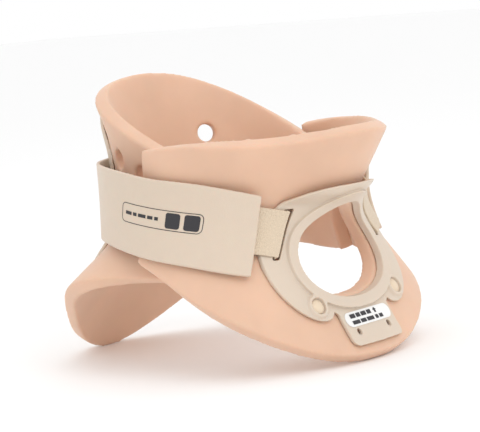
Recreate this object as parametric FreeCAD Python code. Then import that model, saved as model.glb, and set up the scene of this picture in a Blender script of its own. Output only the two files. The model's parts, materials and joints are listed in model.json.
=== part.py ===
import FreeCAD, Part
import math
import os

# Two-piece foam cervical collar with a tracheotomy opening.
#
# Millimetres. +Z is up, -Y is the wearer's front and +X the wearer's left.
# The collar stands on its lower rims; the origin is the centre of the bottom of its box.
#
# Each foam half is a wall round the neck's axis, described by profiles: at an angle from the
# front, the (radius, height) points of the OUTER face from the lower rim to the upper rim.
# Smooth curves join the points up each profile and round the neck. Plates, tabs and rivets
# are placed on a half by angle, by height and by distance out of its outer face.

Vec = FreeCAD.Vector

# ---------------------------------------------------------------- driving dimensions
FOAM_T = 8.0            # foam wall
PLATE_T = 2.0           # moulded plates
PLATE_GAP = 0.35        # plate to foam
PLATE_OUT = PLATE_GAP + PLATE_T
TAB_T = 1.2             # hook tabs
TAB_GAP = 0.35          # hook tab to plate
STRAP_T = 2.0           # laminated strap
BREAK_GAP = 0.4         # between the ends of two strap lengths at a fold

FRONT_PROFILES = {
    0: [(81, 4.2), (65, 27), (55, 61), (69, 92), (83, 117)],
    30: [(83, 9), (71, 32), (55.8, 67), (64, 95), (76, 115)],
    60: [(90, 31), (78, 48), (63.6, 74), (67.3, 97), (75.5, 116)],
    90: [(80, 54), (75, 64), (69, 83), (71, 101), (71, 117.5)],
    100: [(79, 60), (75, 69), (69, 86), (70, 101), (69.5, 116)],
}
REAR_PROFILES = {
    66: [(60.5, 49), (58.5, 57), (56.5, 68), (55.5, 84), (58, 96)],
    90: [(68, 49), (64.5, 59), (60, 73), (57.5, 97), (58.5, 109)],
    105: [(78.5, 51.4), (70.3, 61.5), (63.3, 75.8), (60.5, 104), (62, 117.3)],
    120: [(94, 51), (79, 62), (67.5, 77), (65, 109), (68, 126)],
    150: [(106, 29), (89.5, 50), (73, 73), (71, 113), (78, 143)],
    180: [(118, 3.2), (97, 37), (75.5, 70), (71.5, 119), (75, 150)],
}
STRAP_PROFILES = {
    45: [(76.6, 49.5), (68, 69), (68, 89.5)],
    60: [(79.6, 53.5), (72.1, 74), (72.2, 95)],
    75: [(79.9, 58), (74.2, 78), (74.4, 99.4)],
    90: [(80.2, 61.5), (76.3, 81.5), (76.2, 102.2)],
    105: [(80.1, 65), (77.6, 85), (77.4, 105.6)],
    120: [(79.8, 67.6), (78.4, 88), (78.2, 107.8)],
    150: [(80.4, 68), (79.2, 88.5), (78.8, 108.5)],
    180: [(81.8, 68), (80.4, 88.5), (79.8, 108.5)],
}

# tracheotomy opening: an egg, wider below, seen from the front
EGG_HEIGHT = 56.0       # of its centre
EGG_HALF_WIDTH = 32.0
EGG_HALF_HEIGHT = 24.0
EGG_TAPER = 0.2
FOAM_INSET = 1.0        # the foam's opening is this much smaller
LIP_WIDTH = 5.5
LIP_RISE = 2.2          # of the rolled lip above the plate

# front plate, seen from the front: half outline from the top centre down to the chest tab
PLATE_TOP = (0.0, 90.0)
PLATE_SIDE = [(22, 89.0), (34.5, 84.6), (43.5, 73), (50.5, 58), (51.5, 47), (48.8, 37), (43, 29.5),
              (36, 25), (30, 23.8), (25.5, 24.6)]
NOTCH = (22.5, 27.0)
CHEST_TAB_HALF = 20.3
CHEST_TAB_BOTTOM = 9.2
CHEST_TAB_CORNER = 3.0
TOP_FLARE = 3.0         # the plate's upper lip stands this much further off
TOP_FLARE_FROM = 82.0

RIVET_ANGLE, RIVET_HEIGHT = 27.5, 30.2
BOSS_R, BOSS_RISE = 6.4, 1.6
RIVET_WELL_R = 4.4
RIVET_HEAD_R, RIVET_HEAD_EDGE, RIVET_HEAD_RISE = 3.7, 0.6, 1.1
SHANK_R, SHANK_HOLE_R = 1.9, 2.05
WASHER_R, WASHER_T = 6.0, 1.2
CHEST_HOLE_X, CHEST_HOLE_Z, CHEST_HOLE_R = 12.6, 15.3, 1.6
STUD_ROOM_R, STUD_ROOM_DEPTH = 2.3, 3.5    # recess in the foam behind each chest hole

# hook tabs and their slots: (angle, height) at the upper and lower ends
SLOT_TOP, SLOT_BOTTOM = (31.2, 81.2), (42.0, 55.6)
SLOT_TOP_W, SLOT_BOTTOM_W = 5.2, 3.4
TAB_FRONT_TOP, TAB_FRONT_BOTTOM = (31.2, 80.4), (41.2, 56.4)
TAB_REAR_TOP, TAB_REAR_BOTTOM = (70.0, 90.5), (73.0, 66.0)
TAB_DROP, TAB_DROP_FROM, TAB_DROP_TO = 2.0, 0.5, 0.75   # it comes down past the plate's edge
TAB_FOOT_DEPTH, TAB_FOOT_HALF = 2.6, 1.5
TAB_INSET = 0.3         # the leg starts this far inside the sheet and the foot
POCKET_DEPTH, POCKET_HALF, POCKET_OVER = 4.6, 5.0, 2.0

# strap: the wings fold at the hinge angle, and the right one is pulled further forward
STRAP_FOLD_ANGLE = 128.0
LEFT_END_TOP, LEFT_END_BOTTOM = 63.0, 67.0
RIGHT_END_TOP, RIGHT_END_BOTTOM = 45.0, 52.5

# rear plate, by angle from the back
REAR_PLATE_HALF_DEG = 39.0
REAR_PLATE_LOW, REAR_PLATE_HIGH = 44.0, 135.0
REAR_PLATE_CORNER = 20.0
REAR_RIVETS = [(154, 80), (154, 99), (206, 80), (206, 99)]
REAR_HEAD_LIFT = 0.75    # a flat head on a curved strap bears on its rim

VENTS = [(111, 102), (148, 114), (212, 114), (231, 110), (249, 102)]    # (angle, height)
VENT_R, PLATE_VENT_R = 5.0, 5.8

LABEL_HALF, LABEL_R, LABEL_T, LABEL_HEIGHT = 18.5, 3.5, 0.3, 21.6


# ---------------------------------------------------------------- curves and surfaces
class Spline:
    """A natural cubic spline y(x) through given points."""

    def __init__(self, xs, ys):
        count = len(xs)
        steps = [xs[i + 1] - xs[i] for i in range(count - 1)]
        bends = [0.0] * count
        carry = [0.0] * count
        for i in range(1, count - 1):
            jump = (ys[i + 1] - ys[i]) / steps[i] - (ys[i] - ys[i - 1]) / steps[i - 1]
            scale = 2.0 * (steps[i] + steps[i - 1]) - steps[i - 1] * carry[i - 1]
            carry[i] = steps[i] / scale
            bends[i] = (6.0 * jump - steps[i - 1] * bends[i - 1]) / scale
        for i in range(count - 2, 0, -1):
            bends[i] -= carry[i] * bends[i + 1]
        self.xs, self.ys, self.steps, self.bends = xs, ys, steps, bends

    def __call__(self, x):
        i = 0
        while i < len(self.steps) - 1 and x > self.xs[i + 1]:
            i += 1
        step = self.steps[i]
        before = (self.xs[i + 1] - x) / step
        after = 1.0 - before
        curve = (before ** 3 - before) * self.bends[i] + (after ** 3 - after) * self.bends[i + 1]
        return before * self.ys[i] + after * self.ys[i + 1] + curve * step * step / 6.0


class Wall:
    """The outer face of a wall round the neck: angle from the front, v from 0 (low) to 1."""

    def __init__(self, profiles, mirror_angle):
        angles = sorted(profiles)
        table = {angle: profiles[angle] for angle in angles}
        for angle in angles:
            table[2 * mirror_angle - angle] = profiles[angle]
        self.angles = sorted(table)
        rows = [table[angle] for angle in self.angles]
        self.count = len(rows[0])
        self.heights_at = [i / (self.count - 1) for i in range(self.count)]
        self.radius = [Spline(self.angles, [row[i][0] for row in rows]) for i in range(self.count)]
        self.height = [Spline(self.angles, [row[i][1] for row in rows]) for i in range(self.count)]
        self.profiles = {}

    def profile(self, angle):
        """The radius and height of the wall at one angle, as splines of v."""
        if angle not in self.profiles:
            radius = Spline(self.heights_at, [curve(angle) for curve in self.radius])
            height = Spline(self.heights_at, [curve(angle) for curve in self.height])
            self.profiles[angle] = (radius, height)
        return self.profiles[angle]

    def point(self, angle, v):
        radius, height = self.profile(angle)
        turn = math.radians(angle)
        return Vec(radius(v) * math.sin(turn), -radius(v) * math.cos(turn), height(v))

    def normal(self, angle, v):
        step_a, step_v = 0.05, 0.001
        round_neck = self.point(angle + step_a, v) - self.point(angle - step_a, v)
        up = self.point(angle, v + step_v) - self.point(angle, v - step_v)
        return round_neck.cross(up).normalize()

    def at(self, angle, v, out):
        return self.point(angle, v) + self.normal(angle, v) * out

    def v_at(self, angle, z):
        """The v at which the wall's outer face has height z."""
        height = self.profile(angle)[1]
        low, high = -0.3, 1.3
        for _ in range(40):
            middle = 0.5 * (low + high)
            if height(middle) < z:
                low = middle
            else:
                high = middle
        return 0.5 * (low + high)

    def on(self, angle, z, out):
        return self.at(angle, self.v_at(angle, z), out)


def spread(low, high, count):
    return [low + (high - low) * i / (count - 1) for i in range(count)]


def solid_between(outer_rows, inner_rows):
    """The closed solid between two faces, each given by rows of points."""
    outer, inner = Part.BSplineSurface(), Part.BSplineSurface()
    outer.interpolate(outer_rows)
    inner.interpolate(inner_rows)
    faces = [outer.toShape(), inner.toShape()]
    for side in (0, 1):
        faces.append(Part.makeRuledSurface(outer.uIso(outer.bounds()[side]).toShape(),
                                           inner.uIso(inner.bounds()[side]).toShape()))
        faces.append(Part.makeRuledSurface(outer.vIso(outer.bounds()[2 + side]).toShape(),
                                           inner.vIso(inner.bounds()[2 + side]).toShape()))
    shell = Part.makeShell(faces)
    shell.sewShape()
    solid = Part.makeSolid(shell)
    if solid.Volume < 0:
        solid.reverse()
    return solid


def band(wall, angles, vs, low, high):
    """The part of a wall between two distances out of its face, over a range of angle and v."""
    outer_rows = [[wall.at(angle, v, high(angle, v)) for v in vs] for angle in angles]
    inner_rows = [[wall.at(angle, v, low(angle, v)) for v in vs] for angle in angles]
    return solid_between(outer_rows, inner_rows)


def no_drop(t):
    return 0.0


def strip(wall, start, end, low, high, along=9, across=7, drop=no_drop):
    """A four-sided piece lying on a wall. start and end are pairs of (angle, height) corners,
    lower then upper, and drop(t) is how much nearer to the wall it lies, from start to end."""
    rows = {low: [], high: []}
    for out in rows:
        for t in spread(0.0, 1.0, along):
            row = []
            for s in spread(0.0, 1.0, across):
                corner_a = [start[0][i] + (start[1][i] - start[0][i]) * s for i in (0, 1)]
                corner_b = [end[0][i] + (end[1][i] - end[0][i]) * s for i in (0, 1)]
                angle, z = [corner_a[i] + (corner_b[i] - corner_a[i]) * t for i in (0, 1)]
                row.append(wall.on(angle, z, out - drop(t)))
            rows[out].append(row)
    return solid_between(rows[high], rows[low])


def constant(value):
    return lambda angle, v: value


def one(shape):
    """The single solid inside a boolean's result."""
    solids = shape.Solids
    if len(solids) != 1:
        raise ValueError("expected one solid, found %d" % len(solids))
    return solids[0]


def mirrored(shape):
    return shape.mirror(Vec(0, 0, 0), Vec(1, 0, 0))


def placed(shape, point, direction):
    """A shape made along +Z at the origin, moved to a point and turned along a direction."""
    copy = shape.copy()
    copy.Placement = FreeCAD.Placement(point, FreeCAD.Rotation(Vec(0, 0, 1), direction))
    return copy


def cylinder(radius, low, high):
    return Part.makeCylinder(radius, high - low, Vec(0, 0, low))


# ---------------------------------------------------------------- shared outlines
def front_prism(edges):
    """The space behind and in front of an outline drawn on the XZ plane."""
    wire = Part.Wire(edges)
    face = Part.Face(wire)
    face.translate(Vec(0, -140, 0))
    return face.extrude(Vec(0, 130, 0))


def closed_curve(points):
    curve = Part.BSplineCurve()
    curve.interpolate([Vec(x, 0, z) for x, z in points], PeriodicFlag=True)
    return [curve.toShape()]


def egg_points(grow, count=24):
    points = []
    for i in range(count):
        turn = 2 * math.pi * i / count
        taper = 1 + EGG_TAPER * math.cos(turn)
        points.append(((EGG_HALF_WIDTH + grow) * math.sin(turn) * taper,
                       EGG_HEIGHT - (EGG_HALF_HEIGHT + grow) * math.cos(turn)))
    return points


def egg_prism(grow):
    return front_prism(closed_curve(egg_points(grow)))


def curve_edge(points):
    curve = Part.BSplineCurve()
    curve.interpolate([Vec(x, 0, z) for x, z in points])
    return curve.toShape()


def line_edge(start, end):
    return Part.makeLine(Vec(start[0], 0, start[1]), Vec(end[0], 0, end[1]))


def plate_prism():
    """Front plate: an arched top, round side lobes, a notch each side and the chest tab."""
    corner = CHEST_TAB_CORNER
    low, side = CHEST_TAB_BOTTOM, CHEST_TAB_HALF
    bend = corner * (1 - math.sqrt(0.5))
    left = [(-x, z) for x, z in PLATE_SIDE]
    top = curve_edge([left[1], left[0], PLATE_TOP, PLATE_SIDE[0], PLATE_SIDE[1]])
    edges = [top]
    for sign in (1, -1):
        lobe = [(sign * x, z) for x, z in PLATE_SIDE[1:]]
        arc = Part.Arc(Vec(sign * side, 0, low + corner), Vec(sign * (side - bend), 0, low + bend),
                       Vec(sign * (side - corner), 0, low))
        edges.append(curve_edge(lobe))
        edges.append(line_edge(lobe[-1], (sign * NOTCH[0], NOTCH[1])))
        edges.append(line_edge((sign * NOTCH[0], NOTCH[1]), (sign * side, NOTCH[1] - 2.0)))
        edges.append(line_edge((sign * side, NOTCH[1] - 2.0), (sign * side, low + corner)))
        edges.append(arc.toShape())
    edges.append(line_edge((corner - side, low), (side - corner, low)))
    return front_prism(Part.__sortEdges__(edges))


# ---------------------------------------------------------------- foam halves
def above_floor():
    return Part.makeBox(400, 400, 200, Vec(-200, -200, 0))


def front_foam(wall):
    foam = band(wall, spread(-100, 100, 61), spread(0, 1, 21), constant(-FOAM_T), constant(0))
    foam = foam.common(above_floor())
    foam = foam.cut(egg_prism(-FOAM_INSET))
    pocket = slot_cut(wall, POCKET_HALF * 2, POCKET_HALF * 2, -POCKET_DEPTH, 3.0, POCKET_OVER)
    foam = foam.cut(pocket).cut(mirrored(pocket))
    for angle in (-RIVET_ANGLE, RIVET_ANGLE):
        point, normal = rivet_seat(wall, angle, RIVET_HEIGHT)
        foam = foam.cut(placed(cylinder(SHANK_HOLE_R, -FOAM_T - 8, 8), point, normal))
        foam = foam.cut(placed(washer_seat(), point, normal))
    for x in (-CHEST_HOLE_X, CHEST_HOLE_X):
        angle = math.degrees(math.asin(x / wall.profile(0.0)[0](0.15)))
        point = rivet_seat(wall, angle, CHEST_HOLE_Z)[0]
        room = Part.makeCylinder(STUD_ROOM_R, 80, Vec(x, point.y + STUD_ROOM_DEPTH, CHEST_HOLE_Z), Vec(0, -1, 0))
        foam = foam.cut(room)
    return one(foam)


def rear_foam(wall):
    foam = band(wall, spread(66, 294, 69), spread(0, 1, 21), constant(-FOAM_T), constant(0))
    foam = foam.common(above_floor())
    for angle, height in VENTS:
        point, normal = rivet_seat(wall, angle, height)
        foam = foam.cut(placed(cylinder(VENT_R, -FOAM_T - 8, 8), point, normal))
    for angle, height in REAR_RIVETS:
        point, normal = rivet_seat(wall, angle, height)
        foam = foam.cut(placed(cylinder(SHANK_HOLE_R, -FOAM_T - 8, 8), point, normal))
        foam = foam.cut(placed(washer_seat(), point, normal))
    return one(foam)


# ---------------------------------------------------------------- rivets
def rivet_seat(wall, angle, height):
    v = wall.v_at(angle, height)
    return wall.point(angle, v), wall.normal(angle, v)


def washer_seat():
    """A flat counterbore for a washer on the foam's inner face."""
    return cylinder(WASHER_R + 0.4, -FOAM_T - 8, -FOAM_T + WASHER_T)


def washer():
    """A flat washer in its seat, its visible edge bevelled."""
    low, bevel = -FOAM_T - 0.1, 0.5
    ring = cylinder(WASHER_R, low + bevel, -FOAM_T + WASHER_T - 0.1)
    ring = ring.fuse(Part.makeCone(WASHER_R - bevel, WASHER_R, bevel, Vec(0, 0, low)))
    return one(ring.cut(cylinder(SHANK_HOLE_R, low - 1, 0)))


def rivet(head_base):
    """A domed rivet: head outside, shank through the wall, a small clinched end inside."""
    rise = RIVET_HEAD_RISE
    sphere_r = (RIVET_HEAD_R ** 2 + rise ** 2) / (2 * rise)
    dome = Part.makeSphere(sphere_r, Vec(0, 0, head_base + RIVET_HEAD_EDGE + rise - sphere_r))
    dome = dome.common(cylinder(RIVET_HEAD_R, head_base, head_base + 2 * rise + RIVET_HEAD_EDGE))
    shank = cylinder(SHANK_R, -FOAM_T - 0.2, head_base + 0.2)
    clinch = Part.makeCone(SHANK_R + 1.0, SHANK_R, 0.9, Vec(0, 0, -FOAM_T - 0.15), Vec(0, 0, -1))
    return one(dome.fuse(shank).fuse(clinch))


def rivets(wall, seats, head_base):
    return Part.makeCompound([placed(rivet(head_base), *rivet_seat(wall, a, z)) for a, z in seats])


def washers(wall, seats):
    return Part.makeCompound([placed(washer(), *rivet_seat(wall, a, z)) for a, z in seats])


FRONT_RIVETS = [(-RIVET_ANGLE, RIVET_HEIGHT), (RIVET_ANGLE, RIVET_HEIGHT)]


# ---------------------------------------------------------------- front plate, tabs, label
def slot_cut(wall, top_w, bottom_w, low, high, over):
    """A keyhole space along the slot's line on the wearer's left, open from low to high."""
    slope = (SLOT_TOP[0] - SLOT_BOTTOM[0]) / (SLOT_TOP[1] - SLOT_BOTTOM[1])
    ends = []
    for (angle, z), width, way in ((SLOT_BOTTOM, bottom_w, -1), (SLOT_TOP, top_w, 1)):
        z_end = z + way * over
        ends.append((angle + slope * way * over, z_end, width))
    radius = wall.profile(36.0)[0](0.5)
    sides = []
    for sign in (-1, 1):
        sides.append([(a + sign * math.degrees(w / 2 / radius), z) for a, z, w in ends])
    return strip(wall, sides[0], sides[1], low, high, along=5)


def plate_offset(wall, base):
    """Distance out of the foam, growing over the plate's upper lip."""
    def distance(angle, v):
        rise = (wall.profile(angle)[1](v) - TOP_FLARE_FROM) / (PLATE_TOP[1] - TOP_FLARE_FROM)
        rise = min(max(rise, 0.0), 1.0)
        return base + TOP_FLARE * rise * rise * (3 - 2 * rise)
    return distance


def front_plate(wall):
    angles, vs = spread(-66, 66, 55), spread(-0.02, 0.86, 25)
    sheet = band(wall, angles, vs, plate_offset(wall, PLATE_GAP), plate_offset(wall, PLATE_OUT))
    plate = sheet.common(plate_prism())
    lip = band(wall, spread(-56, 56, 41), spread(0.1, 0.84, 21),
               plate_offset(wall, PLATE_GAP), plate_offset(wall, PLATE_OUT + LIP_RISE))
    plate = plate.fuse(lip.common(egg_prism(LIP_WIDTH)).common(plate_prism()))
    plate = plate.cut(egg_prism(0))
    for angle, height in FRONT_RIVETS:
        point, normal = rivet_seat(wall, angle, height)
        boss = Part.makeCone(BOSS_R + 0.8, BOSS_R - 0.6, BOSS_RISE + 0.6, Vec(0, 0, PLATE_OUT - 0.6))
        plate = plate.fuse(placed(boss, point, normal))
        plate = plate.cut(placed(cylinder(RIVET_WELL_R, PLATE_OUT - 0.2, 8), point, normal))
        plate = plate.cut(placed(cylinder(SHANK_HOLE_R, -4, 8), point, normal))
    slot = slot_cut(wall, SLOT_TOP_W, SLOT_BOTTOM_W, -1.0, 7.0, 0.0)
    plate = plate.cut(slot).cut(mirrored(slot))
    for x in (-CHEST_HOLE_X, CHEST_HOLE_X):
        plate = plate.cut(Part.makeCylinder(CHEST_HOLE_R, 80, Vec(x, -130, CHEST_HOLE_Z), Vec(0, 1, 0)))
    return one(plate)


def size_label(wall):
    """A pill-shaped label stuck on the chest tab."""
    z, r, half = LABEL_HEIGHT, LABEL_R, LABEL_HALF - LABEL_R
    edges = [line_edge((-half, z - r), (half, z - r)), line_edge((-half, z + r), (half, z + r))]
    for sign in (-1, 1):
        edges.append(Part.Arc(Vec(sign * half, 0, z - r), Vec(sign * (half + r), 0, z),
                              Vec(sign * half, 0, z + r)).toShape())
    sheet = band(wall, spread(-24, 24, 21), spread(0, 0.4, 13),
                 constant(PLATE_OUT + 0.05), constant(PLATE_OUT + 0.05 + LABEL_T))
    return one(sheet.common(front_prism(Part.__sortEdges__(edges))))


def tab_drop(t):
    """A smooth step down from the plate to the foam behind it."""
    share = min(max((t - TAB_DROP_FROM) / (TAB_DROP_TO - TAB_DROP_FROM), 0.0), 1.0)
    return TAB_DROP * share * share * (3 - 2 * share)


def hook_tab(wall):
    """A tab on the wearer's left: a sheet over the plate, a leg through the slot and a sewn foot."""
    low, high = PLATE_OUT + TAB_GAP, PLATE_OUT + TAB_GAP + TAB_T
    front = (TAB_FRONT_BOTTOM, TAB_FRONT_TOP)
    rear = (TAB_REAR_BOTTOM, TAB_REAR_TOP)
    sheet = strip(wall, front, rear, low, high, along=27, drop=tab_drop)
    radius = wall.profile(36.0)[0](0.5)
    leg_deg = math.degrees(TAB_T / radius)
    foot_deg = math.degrees(TAB_FOOT_HALF / radius)

    def shifted(corners, degrees):
        return [(angle + degrees, z) for angle, z in corners]

    middle_deg = TAB_INSET + leg_deg / 2
    leg = strip(wall, shifted(front, TAB_INSET), shifted(front, TAB_INSET + leg_deg),
                TAB_INSET - TAB_FOOT_DEPTH, high - TAB_INSET, along=3)
    foot = strip(wall, shifted(front, middle_deg - foot_deg), shifted(front, middle_deg + foot_deg),
                 -TAB_FOOT_DEPTH, -TAB_FOOT_DEPTH + TAB_T, along=3)
    return one(sheet.fuse(leg).fuse(foot))


# ---------------------------------------------------------------- rear plate
def rear_plate(wall):
    """A tall curved stay with round corners, outside the rear foam."""
    half, corner = math.radians(REAR_PLATE_HALF_DEG), REAR_PLATE_CORNER
    middle_r = wall.profile(180.0)[0](0.6)
    x = middle_r * math.sin(half)
    low, high = REAR_PLATE_LOW, REAR_PLATE_HIGH
    corners = [(x, low), (x, high), (-x, high), (-x, low)]
    edges = []
    bend = corner * (1 - math.sqrt(0.5))
    for cx, cz in corners:
        into_x = -1 if cx > 0 else 1
        into_z = 1 if cz == low else -1
        arc = Part.Arc(Vec(cx, 0, cz + into_z * corner), Vec(cx + into_x * bend, 0, cz + into_z * bend),
                       Vec(cx + into_x * corner, 0, cz))
        edges.append(arc.toShape())
    for sign in (-1, 1):
        edges.append(line_edge((sign * x, low + corner), (sign * x, high - corner)))
    for z in (low, high):
        edges.append(line_edge((-x + corner, z), (x - corner, z)))
    face = Part.Face(Part.Wire(Part.__sortEdges__(edges)))
    face.translate(Vec(0, 20, 0))
    prism = face.extrude(Vec(0, 120, 0))
    sheet = band(wall, spread(124, 236, 45), spread(0.12, 0.97, 25),
                 constant(PLATE_GAP), constant(PLATE_OUT))
    plate = sheet.common(prism)
    for angle, height in REAR_RIVETS:
        point, normal = rivet_seat(wall, angle, height)
        plate = plate.cut(placed(cylinder(SHANK_HOLE_R, -4, 8), point, normal))
    for angle, height in VENTS:
        point, normal = rivet_seat(wall, angle, height)
        plate = plate.cut(placed(cylinder(PLATE_VENT_R, -4, 8), point, normal))
    return one(plate)


# ---------------------------------------------------------------- strap
def strap_point(wall, u, s, out, start, end_low, end_high):
    """A point of a strap length: u along it, s across it from the lower edge."""
    end = end_low + (end_high - end_low) * s
    return wall.at(start + (end - start) * u, s, out)


def strap_length(wall, start, end_low, end_high, along=33):
    """A length of strap between two angles, its end cut aslant between the two end angles."""
    rows = {-STRAP_T: [], 0.0: []}
    for out in rows:
        for u in spread(0.0, 1.0, along):
            rows[out].append([strap_point(wall, u, s, out, start, end_low, end_high)
                              for s in spread(0.0, 1.0, 9)])
    return solid_between(rows[0.0], rows[-STRAP_T])


def strap_back(wall, foam_wall):
    fold = STRAP_FOLD_ANGLE + math.degrees(BREAK_GAP / 2 / 79)
    strap = strap_length(wall, fold, 360 - fold, 360 - fold, along=41)
    for angle, height in REAR_RIVETS:
        point, normal = rivet_seat(foam_wall, angle, height)
        strap = strap.cut(placed(cylinder(SHANK_HOLE_R, -4, 25), point, normal))
    return one(strap)


def strap_wing(wall, end_low, end_high):
    """A free wing, made on the wearer's left."""
    fold = STRAP_FOLD_ANGLE - math.degrees(BREAK_GAP / 2 / 79)
    return strap_length(wall, fold, end_low, end_high)


# ---------------------------------------------------------------- the whole collar
def rear_rivet_base(strap_wall, foam_wall, angle, height):
    """How far out of the foam a rear rivet's head sits, so that it bears on the strap."""
    point, normal = rivet_seat(foam_wall, angle, height)
    surface = strap_wall.on(angle, height, 0.0)
    return (surface - point).dot(normal) + REAR_HEAD_LIFT


def collar():
    front, rear = Wall(FRONT_PROFILES, 0), Wall(REAR_PROFILES, 180)
    strap = Wall(STRAP_PROFILES, 180)
    nodes = {
        "front_foam": front_foam(front),
        "front_plate": front_plate(front),
        "front_rivets": rivets(front, FRONT_RIVETS, PLATE_OUT - 0.15),
        "front_rivet_washers": washers(front, FRONT_RIVETS),
        "size_label": size_label(front),
        "rear_foam": rear_foam(rear),
        "rear_plate": rear_plate(rear),
        "strap_back": strap_back(strap, rear),
        "rear_rivet_washers": washers(rear, REAR_RIVETS),
    }
    heads = []
    for angle, height in REAR_RIVETS:
        base = rear_rivet_base(strap, rear, angle, height)
        heads.append(placed(rivet(base), *rivet_seat(rear, angle, height)))
    nodes["rear_rivets"] = Part.makeCompound(heads)
    left_tab = hook_tab(front)
    nodes["hook_tab_left"], nodes["hook_tab_right"] = left_tab, mirrored(left_tab)
    nodes["strap_wing_left"] = strap_wing(strap, LEFT_END_BOTTOM, LEFT_END_TOP)
    nodes["strap_wing_right"] = mirrored(strap_wing(strap, RIGHT_END_BOTTOM, RIGHT_END_TOP))
    return nodes


def main():
    nodes = collar()
    box = Part.makeCompound(list(nodes.values())).optimalBoundingBox(False)
    shift = Vec(0, -0.5 * (box.YMin + box.YMax), 0)
    os.makedirs("parts", exist_ok=True)
    for name, shape in nodes.items():
        moved = shape.copy()
        moved.translate(shift)
        moved.exportStep("parts/%s.step" % name)
        print(name, len(moved.Solids), moved.isValid(), round(moved.Volume / 1000, 2), "cm3")
    print("moved by", round(shift.y, 3), "size", [round(x, 2) for x in (box.XLength, box.YLength, box.ZLength)])


main()
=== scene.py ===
import json
import math

import bmesh
import bpy
from mathutils import Matrix, Vector
from mathutils.bvhtree import BVHTree

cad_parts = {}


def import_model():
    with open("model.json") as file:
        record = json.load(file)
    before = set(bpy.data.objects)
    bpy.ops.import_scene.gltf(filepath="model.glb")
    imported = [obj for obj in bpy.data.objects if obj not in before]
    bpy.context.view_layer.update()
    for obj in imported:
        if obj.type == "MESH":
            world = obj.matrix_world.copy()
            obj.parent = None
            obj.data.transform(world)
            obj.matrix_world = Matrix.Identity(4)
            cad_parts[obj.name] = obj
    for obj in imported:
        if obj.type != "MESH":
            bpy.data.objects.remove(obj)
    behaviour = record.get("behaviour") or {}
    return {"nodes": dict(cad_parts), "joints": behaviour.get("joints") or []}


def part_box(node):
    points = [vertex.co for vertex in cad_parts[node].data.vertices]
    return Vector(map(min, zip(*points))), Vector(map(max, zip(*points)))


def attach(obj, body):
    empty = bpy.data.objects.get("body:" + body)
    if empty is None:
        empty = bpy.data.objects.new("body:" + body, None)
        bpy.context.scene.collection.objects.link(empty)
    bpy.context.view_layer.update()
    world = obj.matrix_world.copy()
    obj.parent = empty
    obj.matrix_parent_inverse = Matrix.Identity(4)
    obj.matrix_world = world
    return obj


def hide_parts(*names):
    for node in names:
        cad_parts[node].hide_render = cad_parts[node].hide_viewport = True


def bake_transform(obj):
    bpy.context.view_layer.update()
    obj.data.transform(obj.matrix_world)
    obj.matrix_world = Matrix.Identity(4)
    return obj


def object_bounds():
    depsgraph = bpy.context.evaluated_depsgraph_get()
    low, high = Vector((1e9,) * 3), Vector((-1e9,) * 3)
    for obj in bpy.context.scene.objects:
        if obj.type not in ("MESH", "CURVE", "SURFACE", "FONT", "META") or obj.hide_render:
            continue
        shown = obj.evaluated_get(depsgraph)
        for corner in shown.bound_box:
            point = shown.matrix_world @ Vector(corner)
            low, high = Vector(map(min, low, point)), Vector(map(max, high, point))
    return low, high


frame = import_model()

# Two-piece foam cervical collar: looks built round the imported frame. Metres.
# +Z is up, -Y is the wearer's front and +X the wearer's left.

MM = 0.001
CAD_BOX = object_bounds()
LOW, HIGH = CAD_BOX
CENTRE = (LOW + HIGH) / 2
WELD = 0.002 * MM           # vertices nearer than this are the same one
PRINT_LIFT = 0.11 * MM      # ink above its surface
NECK_Y = -17.5 * MM         # where the neck's axis crosses the frame


# ---------------------------------------------------------------- mesh helpers
def link(obj):
    bpy.context.scene.collection.objects.link(obj)
    return obj


def duplicate(name, nodes):
    """One new object holding copies of the meshes of some CAD nodes."""
    joined = bmesh.new()
    for node in nodes:
        joined.from_mesh(frame["nodes"][node].data)
    bmesh.ops.remove_doubles(joined, verts=joined.verts, dist=WELD)
    mesh = bpy.data.meshes.new(name)
    joined.to_mesh(mesh)
    joined.free()
    return link(bpy.data.objects.new(name, mesh))


def apply_modifiers(obj):
    graph = bpy.context.evaluated_depsgraph_get()
    mesh = bpy.data.meshes.new_from_object(obj.evaluated_get(graph))
    obj.modifiers.clear()
    obj.data = mesh
    return obj


def remeshed(obj, voxel, rounds):
    """Even quads over a piece, with its edges rounded by smoothing."""
    remesh = obj.modifiers.new("remesh", "REMESH")
    remesh.mode = "VOXEL"
    remesh.voxel_size = voxel
    remesh.adaptivity = 0.0
    smooth = obj.modifiers.new("smooth", "SMOOTH")
    smooth.factor = 0.5
    smooth.iterations = rounds
    apply_modifiers(obj)
    shade_smooth(obj)
    return obj


def shade_smooth(obj):
    for face in obj.data.polygons:
        face.use_smooth = True


def tree_of(obj):
    return BVHTree.FromPolygons([v.co for v in obj.data.vertices],
                                [list(p.vertices) for p in obj.data.polygons])


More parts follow.
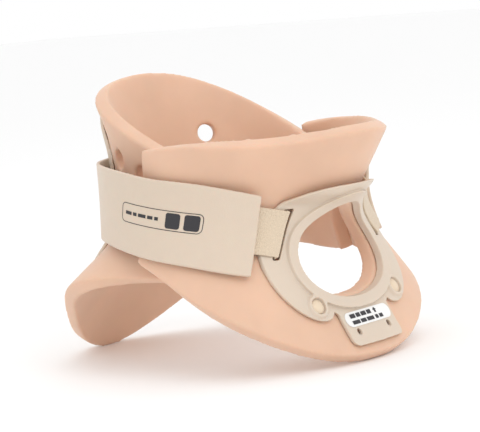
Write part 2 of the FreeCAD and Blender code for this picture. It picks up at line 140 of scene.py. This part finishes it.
# ---------------------------------------------------------------- material helpers
class Shader:
    """A Principled material with object coordinates and a few short-hands."""

    def __init__(self, name, colour, roughness):
        self.material = bpy.data.materials.new(name)
        self.material.use_nodes = True
        self.tree = self.material.node_tree
        self.nodes = self.tree.nodes
        self.bsdf = self.nodes["Principled BSDF"]
        self.bsdf.inputs["Base Color"].default_value = (*colour, 1)
        self.bsdf.inputs["Roughness"].default_value = roughness
        self.coord = self.nodes.new("ShaderNodeTexCoord").outputs["Object"]

    def set(self, **values):
        for key, value in values.items():
            self.bsdf.inputs[key.replace("_", " ")].default_value = value
        return self

    def node(self, kind, **inputs):
        made = self.nodes.new(kind)
        for key, value in inputs.items():
            socket = made.inputs[key.replace("_", " ")]
            if isinstance(value, bpy.types.NodeSocket):
                self.tree.links.new(value, socket)
            else:
                socket.default_value = value
        return made

    def noise(self, scale, detail=3.0, roughness=0.55):
        return self.node("ShaderNodeTexNoise", Vector=self.coord, Scale=scale,
                         Detail=detail, Roughness=roughness).outputs["Fac"]

    def cells(self, scale):
        voronoi = self.node("ShaderNodeTexVoronoi", Vector=self.coord, Scale=scale)
        return voronoi.outputs["Distance"]

    def ramp(self, fac, *stops):
        made = self.nodes.new("ShaderNodeValToRGB")
        self.tree.links.new(fac, made.inputs["Fac"])
        elements = made.color_ramp.elements
        while len(elements) < len(stops):
            elements.new(0.5)
        for element, (place, colour) in zip(elements, stops):
            element.position = place
            element.color = (*colour, 1)
        return made.outputs["Color"]

    def colour(self, socket):
        self.tree.links.new(socket, self.bsdf.inputs["Base Color"])

    def rough(self, socket):
        self.tree.links.new(socket, self.bsdf.inputs["Roughness"])

    def bump(self, height, strength, distance, below=None):
        made = self.node("ShaderNodeBump", Height=height, Strength=strength, Distance=distance)
        if below is not None:
            self.tree.links.new(below, made.inputs["Normal"])
        self.tree.links.new(made.outputs["Normal"], self.bsdf.inputs["Normal"])
        return made.outputs["Normal"]


def tint(colour, factor):
    return tuple(min(1.0, c * factor) for c in colour)


# ---------------------------------------------------------------- materials
FOAM = (0.745, 0.492, 0.352)
PLATE = (0.67, 0.565, 0.46)
STRAP = (0.675, 0.56, 0.45)
HOOK = (0.74, 0.61, 0.46)
INK = (0.028, 0.026, 0.03)


def foam_material():
    """Closed-cell foam: a soft smooth skin with fine pores and a slightly mottled colour."""
    s = Shader("foam", FOAM, 0.62)
    s.set(Subsurface_Weight=0.25, Subsurface_Scale=0.004, Subsurface_Radius=(1.0, 0.45, 0.25),
          Specular_IOR_Level=0.32, Sheen_Weight=0.12, Sheen_Roughness=0.5)
    broad = s.noise(28.0, 4.0)
    s.colour(s.ramp(broad, (0.3, tint(FOAM, 0.95)), (0.7, tint(FOAM, 1.04))))
    s.rough(s.ramp(s.noise(60.0), (0.3, (0.55,) * 3), (0.75, (0.68,) * 3)))
    ripple = s.bump(s.noise(90.0, 2.0), 0.25, 0.0004)
    s.bump(s.cells(1500.0), 0.22, 0.00012, below=ripple)
    return s.material


def plate_material():
    """Satin moulded polyethylene with a faint orange-peel skin."""
    s = Shader("plate", PLATE, 0.42)
    s.set(Subsurface_Weight=0.18, Subsurface_Scale=0.0025, Subsurface_Radius=(1.0, 0.7, 0.5),
          Specular_IOR_Level=0.45)
    s.colour(s.ramp(s.noise(22.0), (0.35, tint(PLATE, 0.98)), (0.7, tint(PLATE, 1.025))))
    s.rough(s.ramp(s.noise(45.0), (0.35, (0.38,) * 3), (0.7, (0.47,) * 3)))
    s.bump(s.noise(700.0, 2.0), 0.12, 0.0001)
    return s.material


def strap_material():
    """Loop fabric laminated on a thin foam: a matte face with a fine brushed nap."""
    s = Shader("strap", STRAP, 0.78)
    s.set(Sheen_Weight=0.3, Sheen_Roughness=0.45, Specular_IOR_Level=0.25,
          Subsurface_Weight=0.08, Subsurface_Scale=0.0015)
    s.colour(s.ramp(s.noise(180.0, 5.0, 0.7), (0.3, tint(STRAP, 0.985)), (0.72, tint(STRAP, 1.012))))
    nap = s.bump(s.noise(1600.0, 3.0, 0.7), 0.35, 0.00018)
    s.bump(s.cells(2100.0), 0.2, 0.00012, below=nap)
    return s.material


def hook_material():
    """Woven hook tape: rows of small stiff hooks that show as fine dots."""
    s = Shader("hook_tape", HOOK, 0.7)
    s.set(Sheen_Weight=0.35, Sheen_Roughness=0.35, Specular_IOR_Level=0.35)
    dots = s.cells(1150.0)
    s.colour(s.ramp(dots, (0.1, tint(HOOK, 1.03)), (0.55, tint(HOOK, 0.93))))
    s.bump(dots, 0.7, 0.0005)
    return s.material


def plain_material(name, colour, roughness, grain):
    s = Shader(name, colour, roughness)
    s.colour(s.ramp(s.noise(grain), (0.35, tint(colour, 0.97)), (0.7, tint(colour, 1.03))))
    s.bump(s.noise(grain * 20), 0.08, 0.00008)
    return s.material


MATERIALS = {
    "foam": foam_material(),
    "plate": plate_material(),
    "strap": strap_material(),
    "hook_tape": hook_material(),
    "rivet": plain_material("rivet", (0.76, 0.62, 0.46), 0.32, 60.0),
    "washer": plain_material("washer", tint(PLATE, 0.98), 0.45, 60.0),
    "label": plain_material("label", (0.86, 0.86, 0.85), 0.36, 40.0),
    "ink": plain_material("ink", INK, 0.5, 300.0),
}


def paint(obj, name):
    obj.data.materials.clear()
    obj.data.materials.append(MATERIALS[name])


# ---------------------------------------------------------------- foam halves
FOAM_VOXEL = 1.0 * MM
FOAM_ROUNDS = 16


def foam_half(name, node, body):
    half = remeshed(duplicate(name, [node]), FOAM_VOXEL, FOAM_ROUNDS)
    paint(half, "foam")
    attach(half, body)
    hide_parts(node)


foam_half("front_foam_shell", "front_foam", "front_half")
foam_half("rear_foam_shell", "rear_foam", "rear_half")


# ---------------------------------------------------------------- plates
FRONT_PLATE_VOXEL, FRONT_PLATE_ROUNDS = 0.42 * MM, 3
REAR_PLATE_VOXEL, REAR_PLATE_ROUNDS = 0.62 * MM, 4


def moulded(name, node, body, voxel, rounds):
    piece = remeshed(duplicate(name, [node]), voxel, rounds)
    paint(piece, "plate")
    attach(piece, body)
    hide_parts(node)


moulded("front_plate_moulding", "front_plate", "front_half", FRONT_PLATE_VOXEL, FRONT_PLATE_ROUNDS)
moulded("rear_plate_moulding", "rear_plate", "rear_half", REAR_PLATE_VOXEL, REAR_PLATE_ROUNDS)


# ---------------------------------------------------------------- strap and hook tabs
STRAP_VOXEL = 0.5 * MM
STRAP_ROUNDS = 12
TAB_VOXEL, TAB_ROUNDS = 0.36 * MM, 2
FOLD_REACH, FOLD_PULL = 4 * MM, 0.9 * MM    # how a wing's fold end is drawn over the gap
HINGES = {joint["name"]: joint for joint in frame["joints"]}


def frontward(point):
    """The level direction round the neck from a point on the strap towards the front."""
    side = 1 if point.x > 0 else -1
    return Vector((point.y - NECK_Y, -point.x, 0)).normalized() * side


def bridged(name):
    """The three strap lengths in one mesh, with the wings' fold ends drawn into the back length,
    so that remeshing joins them."""
    band = bmesh.new()
    for node in ("strap_back", "strap_wing_left", "strap_wing_right"):
        piece = bmesh.new()
        piece.from_mesh(frame["nodes"][node].data)
        bmesh.ops.remove_doubles(piece, verts=piece.verts, dist=WELD)
        if node != "strap_back":
            pivot = Vector(HINGES["%s_open" % node.replace("_wing", "")]["pos_m"])
            for vert in piece.verts:
                if (vert.co.xy - pivot.xy).length < FOLD_REACH:
                    vert.co -= frontward(pivot) * FOLD_PULL
        mesh = bpy.data.meshes.new("part")
        piece.to_mesh(mesh)
        piece.free()
        band.from_mesh(mesh)
    mesh = bpy.data.meshes.new(name)
    band.to_mesh(mesh)
    band.free()
    return link(bpy.data.objects.new(name, mesh))


def half_of(source, name, side):
    """The half of a mesh on one side of the plane X = 0, closed at the cut."""
    half = bmesh.new()
    half.from_mesh(source.data)
    geometry = list(half.verts) + list(half.edges) + list(half.faces)
    cut = bmesh.ops.bisect_plane(half, geom=geometry, plane_co=(0, 0, 0), plane_no=(side, 0, 0),
                                 clear_inner=True)
    rim = [e for e in cut["geom_cut"] if isinstance(e, bmesh.types.BMEdge)]
    bmesh.ops.holes_fill(half, edges=rim)
    mesh = bpy.data.meshes.new(name)
    half.to_mesh(mesh)
    half.free()
    piece = link(bpy.data.objects.new(name, mesh))
    shade_smooth(piece)
    return piece


def strap_bands():
    """The left and right half of the whole strap, each bent at its fold. Returns the right one."""
    whole = remeshed(bridged("strap_whole"), STRAP_VOXEL, STRAP_ROUNDS)
    for side, word in ((1, "left"), (-1, "right")):
        band = half_of(whole, "strap_band_%s" % word, side)
        paint(band, "strap")
        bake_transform(band)
        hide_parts("strap_wing_%s" % word, "strap_back")
    bpy.data.objects.remove(whole)
    return band


strap_right = strap_bands()


def hook_tabs():
    for word in ("left", "right"):
        node = "hook_tab_%s" % word
        tab = remeshed(duplicate("%s_tape" % node, [node]), TAB_VOXEL, TAB_ROUNDS)
        paint(tab, "hook_tape")
        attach(tab, "tab_%s" % word)
        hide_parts(node)


hook_tabs()


# ---------------------------------------------------------------- printed marks
class Patch:
    """A flat drawing laid on a surface: across and up in the drawing's plane, cast along aim."""

    CAST_FROM = 50 * MM         # how far in front of the drawing's plane each cast starts

    def __init__(self, surface, centre, across, up, aim):
        self.tree = tree_of(surface)
        self.centre, self.across, self.up = Vector(centre), Vector(across), Vector(up)
        self.aim = Vector(aim)
        self.mesh = bmesh.new()

    def place(self, x, y):
        start = self.centre + self.across * x + self.up * y - self.aim * self.CAST_FROM
        hit, normal, _, _ = self.tree.ray_cast(start, self.aim)
        if hit is None:
            raise ValueError("a printed mark runs off its surface")
        return hit + normal * PRINT_LIFT

    def loop_strip(self, outer, inner):
        """A closed line between two outlines with the same number of points."""
        rows = [[self.mesh.verts.new(self.place(*p)) for p in ring] for ring in (outer, inner)]
        count = len(outer)
        for i in range(count):
            j = (i + 1) % count
            self.mesh.faces.new((rows[0][i], rows[0][j], rows[1][j], rows[1][i]))

    def bar(self, x0, y0, x1, y1, steps=8):
        """A filled rectangle, divided so that it follows the surface."""
        rows = []
        for y in (y0, y1):
            rows.append([self.mesh.verts.new(self.place(x0 + (x1 - x0) * i / steps, y))
                         for i in range(steps + 1)])
        for i in range(steps):
            self.mesh.faces.new((rows[0][i], rows[0][i + 1], rows[1][i + 1], rows[1][i]))

    def fan(self, outline):
        """A filled convex outline round its own middle."""
        middle_x = sum(p[0] for p in outline) / len(outline)
        middle_y = sum(p[1] for p in outline) / len(outline)
        middle = self.mesh.verts.new(self.place(middle_x, middle_y))
        ring = [self.mesh.verts.new(self.place(*p)) for p in outline]
        for i in range(len(ring)):
            self.mesh.faces.new((middle, ring[i], ring[(i + 1) % len(ring)]))

    def finish(self, name, material, body):
        mesh = bpy.data.meshes.new(name)
        bmesh.ops.recalc_face_normals(self.mesh, faces=self.mesh.faces)
        self.mesh.to_mesh(mesh)
        self.mesh.free()
        piece = link(bpy.data.objects.new(name, mesh))
        piece.data.materials.append(MATERIALS[material])
        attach(piece, body)
        return piece


def pill(half_x, half_y, radius, count=9):
    """A rounded rectangle's outline, with count points round each corner."""
    outline = []
    for corner, (sx, sy) in enumerate(((1, 1), (-1, 1), (-1, -1), (1, -1))):
        for i in range(count):
            turn = math.radians(90 * corner + 90 * i / (count - 1))
            outline.append((sx * (half_x - radius) + radius * math.cos(turn),
                            sy * (half_y - radius) + radius * math.sin(turn)))
    return outline


def moved(outline, x, y):
    return [(a + x, b + y) for a, b in outline]


def dense(outline, like=None, longest=0.8 * MM):
    """The outline with its long runs divided, so that it can follow a curved surface. A second
    outline, like, says how many steps each run takes, so that two rings can be matched."""
    points = []
    guide = like or outline
    for i, (x0, y0) in enumerate(outline):
        j = (i + 1) % len(outline)
        x1, y1 = outline[j]
        steps = math.ceil(math.dist(guide[i], guide[j]) / longest) or 1
        for k in range(steps):
            points.append((x0 + (x1 - x0) * k / steps, y0 + (y1 - y0) * k / steps))
    return points


# the strap's print: an outlined panel with a row of plain bars and two dark squares
PANEL_CENTRE = Vector((-75.5, -19.0, 82.2)) * MM
PANEL_HALF, PANEL_HALF_HIGH, PANEL_CORNER = 24.5 * MM, 5.0 * MM, 2.6 * MM
PANEL_LINE = 0.35 * MM
PANEL_SLOPE = Vector((0, -1, -0.165))
SQUARES = (9.0 * MM, 19.0 * MM)
SQUARE_HALF, SQUARE_CORNER = 3.9 * MM, 1.3 * MM
BAR_WIDTHS = (4.5, 2.6, 5.2, 3.4, 2.2)
BAR_MARGIN, BAR_GAP, BAR_HIGH = 3.0 * MM, 1.1 * MM, 1.7 * MM


def strap_print():
    across = PANEL_SLOPE.normalized()
    up = Vector((1, 0, 0)).cross(across).normalized()
    if up.z < 0:
        up.negate()
    patch = Patch(strap_right, PANEL_CENTRE, across, up, (1, 0, 0))
    outer = pill(PANEL_HALF, PANEL_HALF_HIGH, PANEL_CORNER)
    inner = pill(PANEL_HALF - PANEL_LINE, PANEL_HALF_HIGH - PANEL_LINE, PANEL_CORNER - PANEL_LINE)
    patch.loop_strip(dense(outer), dense(inner, like=outer))
    for x in SQUARES:
        patch.fan(moved(dense(pill(SQUARE_HALF, SQUARE_HALF, SQUARE_CORNER)), x, 0))
    x = -PANEL_HALF + BAR_MARGIN
    for width in BAR_WIDTHS:
        patch.bar(x, -BAR_HIGH / 2, x + width * MM, BAR_HIGH / 2)
        x += width * MM + BAR_GAP
    return patch.finish("strap_print", "ink", "strap_right")


# the size label's print: an up arrow and plain bars, on two lines, in millimetres
UPPER_LINE, UPPER_BARS = (0.5, 2.5), ((-14.5, -10.2), (-9.4, -6.0), (-5.2, -1.0), (-0.2, 3.2))
LOWER_LINE = (-2.5, -0.7)
LOWER_BARS = ((-14.5, -8.6), (-7.8, -3.4), (-2.6, 3.2), (4.6, 7.0), (8.0, 11.0))
LABEL_BAR_STEPS = 4
ARROW_SCALE, ARROW_X, ARROW_Y = 0.62, 6.6, 1.35
ARROW_STEM = ((-1.1, -1.6), (1.1, -1.6), (1.1, 0.4), (-1.1, 0.4))
ARROW_HEAD = ((2.4, 0.4), (0, 2.6), (-2.4, 0.4))


def label_print():
    low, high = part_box("size_label")
    centre = (low + high) / 2
    patch = Patch(frame["nodes"]["size_label"], centre, (1, 0, 0), (0, 0, 1), (0, 1, 0))
    for (y0, y1), bars in ((UPPER_LINE, UPPER_BARS), (LOWER_LINE, LOWER_BARS)):
        for x0, x1 in bars:
            patch.bar(x0 * MM, y0 * MM, x1 * MM, y1 * MM, steps=LABEL_BAR_STEPS)
    for shape in (ARROW_STEM, ARROW_HEAD):
        patch.fan([((x * ARROW_SCALE + ARROW_X) * MM, (y * ARROW_SCALE + ARROW_Y) * MM)
                   for x, y in shape])
    return patch.finish("label_print", "ink", "front_half")


strap_print()
label_print()


# ---------------------------------------------------------------- CAD nodes that stay as they are
for node, name in (("front_rivets", "rivet"), ("rear_rivets", "rivet"), ("size_label", "label"),
                   ("front_rivet_washers", "washer"), ("rear_rivet_washers", "washer")):
    obj = frame["nodes"][node]
    obj.data.materials.clear()
    obj.data.materials.append(MATERIALS[name])


# ---------------------------------------------------------------- stage
FLOOR_SIZE = 12
KEY_PLACE, KEY_SIZE, KEY_POWER = (-0.35, -1.0, 0.95), (0.8, 0.8), 3.2
TOP_PLACE, TOP_SIZE, TOP_POWER = (0.0, 0.25, 1.3), (1.0, 1.0), 1.4
SKY_COLOUR, SKY_STRENGTH = (1.0, 1.0, 1.0), 1.0


def stage():
    bpy.ops.mesh.primitive_plane_add(size=FLOOR_SIZE, location=(0, 0, LOW.z))
    floor = bpy.context.object
    floor.name = "floor"
    s = Shader("floor", (0.97, 0.97, 0.97), 0.8)
    s.set(Specular_IOR_Level=0.2)
    floor.data.materials.append(s.material)


def area_light(name, place, aim, size, power):
    data = bpy.data.lights.new(name, "AREA")
    data.shape = "RECTANGLE"
    data.size, data.size_y = size
    data.energy = power
    light = link(bpy.data.objects.new(name, data))
    light.location = place
    light.rotation_euler = (Vector(aim) - Vector(place)).to_track_quat("-Z", "Y").to_euler()


def world(colour, strength):
    scene_world = bpy.data.worlds.new("world")
    bpy.context.scene.world = scene_world
    scene_world.use_nodes = True
    background = scene_world.node_tree.nodes["Background"]
    background.inputs["Color"].default_value = (*colour, 1)
    background.inputs["Strength"].default_value = strength


# The camera stands to the wearer's right front, a little above, with a slight roll.
VIEW_AZIMUTH, VIEW_ELEVATION, VIEW_ROLL = -51.56, 6.35, 5.11
VIEW_DISTANCE = 1.15
VIEW_TARGET = Vector((0, -0.0495, 0.072))
VIEW_LENS, VIEW_SENSOR = 165.9, 36.0
VIEW_SHIFT = (-0.123, 0.003)
VIEW_CLIP = (0.05, 20)


def camera():
    a, e, r = (math.radians(v) for v in (VIEW_AZIMUTH, VIEW_ELEVATION, VIEW_ROLL))
    back = Vector((math.sin(a) * math.cos(e), -math.cos(a) * math.cos(e), math.sin(e)))
    right = Vector((math.cos(a), math.sin(a), 0))
    up = back.cross(right)
    x_axis = right * math.cos(r) - up * math.sin(r)
    y_axis = right * math.sin(r) + up * math.cos(r)
    data = bpy.data.cameras.new("camera")
    data.sensor_width = VIEW_SENSOR
    data.lens = VIEW_LENS
    data.shift_x, data.shift_y = VIEW_SHIFT
    data.clip_start, data.clip_end = VIEW_CLIP
    cam = link(bpy.data.objects.new("camera", data))
    cam.matrix_world = Matrix((
        (x_axis.x, y_axis.x, back.x, VIEW_TARGET.x + back.x * VIEW_DISTANCE),
        (x_axis.y, y_axis.y, back.y, VIEW_TARGET.y + back.y * VIEW_DISTANCE),
        (x_axis.z, y_axis.z, back.z, VIEW_TARGET.z + back.z * VIEW_DISTANCE),
        (0, 0, 0, 1)))
    bpy.context.scene.camera = cam


stage()
camera()
world(SKY_COLOUR, SKY_STRENGTH)
area_light("key", KEY_PLACE, CENTRE, KEY_SIZE, KEY_POWER)
area_light("top", TOP_PLACE, CENTRE, TOP_SIZE, TOP_POWER)
bpy.context.scene.view_settings.view_transform = "Standard"
